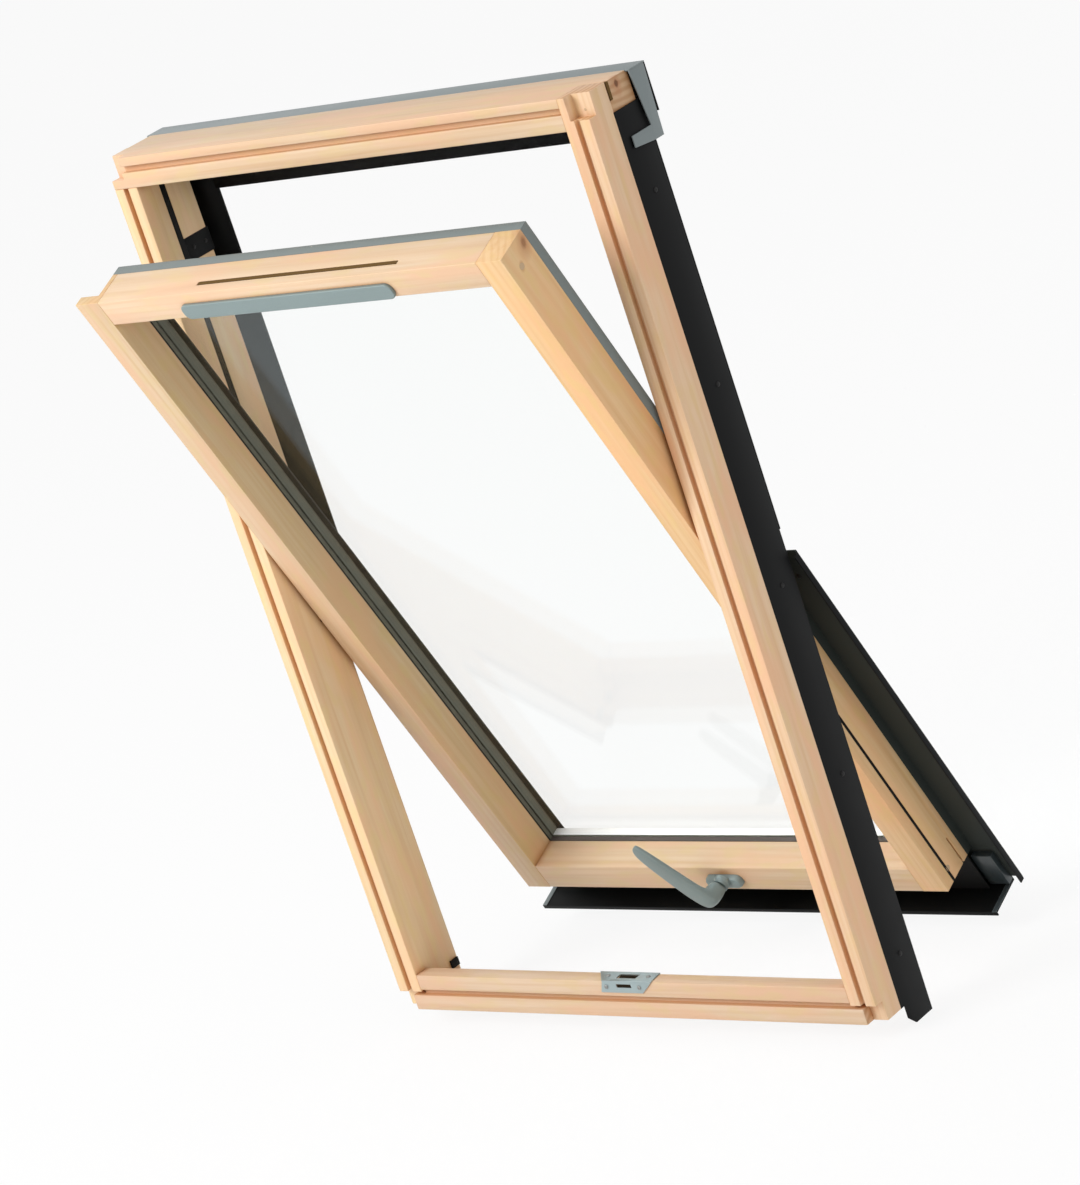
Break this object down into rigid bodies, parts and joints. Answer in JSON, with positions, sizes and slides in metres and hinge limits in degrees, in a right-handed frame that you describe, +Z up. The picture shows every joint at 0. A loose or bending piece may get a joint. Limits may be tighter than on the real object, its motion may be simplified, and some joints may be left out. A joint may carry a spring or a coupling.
{
  "type": "roof window",
  "caption": "Centre pivot roof window with a pine frame, dark side cladding, a glazed pine sash standing half open and a lever handle.",
  "frame": {"origin": "middle of the flat underside of the sill", "axes": "+X across the window to the right as seen from the room, +Y outwards, +Z up along the jambs"},
  "size_m": [0.794, 0.4949, 1.209],
  "materials": {
    "pine_frame": "clear lacquered pine",
    "pine_sash": "clear lacquered pine",
    "anthracite": "satin",
    "grey_metal": "satin",
    "steel": "zinc plated",
    "seal": "matt",
    "black_plastic": "matt",
    "glass": "clear",
    "spacer": "dull",
    "handle_metal": "satin"
  },
  "bodies": {
    "frame": {"frame_jamb_right": "pine_frame", "frame_jamb_left": "pine_frame", "frame_head": "pine_frame", "frame_sill": "pine_frame", "jamb_seal_right": "seal", "jamb_seal_left": "seal", "guide_block_right": "black_plastic", "guide_block_left": "black_plastic", "hinge_plate_right": "anthracite", "hinge_plate_left": "anthracite", "side_cladding_right": "anthracite", "side_cladding_left": "anthracite", "side_cover_right": "anthracite", "side_cover_left": "anthracite", "head_cover": "anthracite", "head_hood": "grey_metal", "hood_apron": "grey_metal", "hood_sides": "grey_metal", "striker_plate": "steel"},
    "sash": {"sash_stile_right": "pine_sash", "sash_stile_left": "pine_sash", "sash_head": "pine_sash", "sash_bottom_rail": "pine_sash", "glass_inner": "glass", "glass_outer": "glass", "glazing_gasket": "seal", "glass_spacer": "spacer", "edge_strip_right": "grey_metal", "edge_strip_left": "grey_metal", "edge_strip_top": "grey_metal", "lower_cover_right": "anthracite", "lower_cover_left": "anthracite", "lower_leg_right": "anthracite", "lower_leg_left": "anthracite", "bottom_cover": "anthracite", "bottom_ledge": "anthracite", "bottom_apron": "anthracite", "end_caps": "black_plastic", "sash_seal_right": "seal", "sash_seal_left": "seal", "sash_hinge_right": "anthracite", "sash_hinge_left": "anthracite", "vent_bar": "handle_metal", "handle_base": "handle_metal"},
    "lever": {"handle_lever": "handle_metal"}
  },
  "joints": [
    {"name": "sash_pivot", "type": "hinge", "parent": "frame", "child": "sash", "pos_m": [0, 0.071, 0.59], "axis": [1, 0, 0], "range_deg": [-21.94, 108.06]},
    {"name": "handle_turn", "type": "hinge", "parent": "sash", "child": "lever", "pos_m": [0.008, 0.15787, 0.06655], "axis": [0, -0.9276, -0.3736], "range_deg": [-32, 58]}
  ]
}
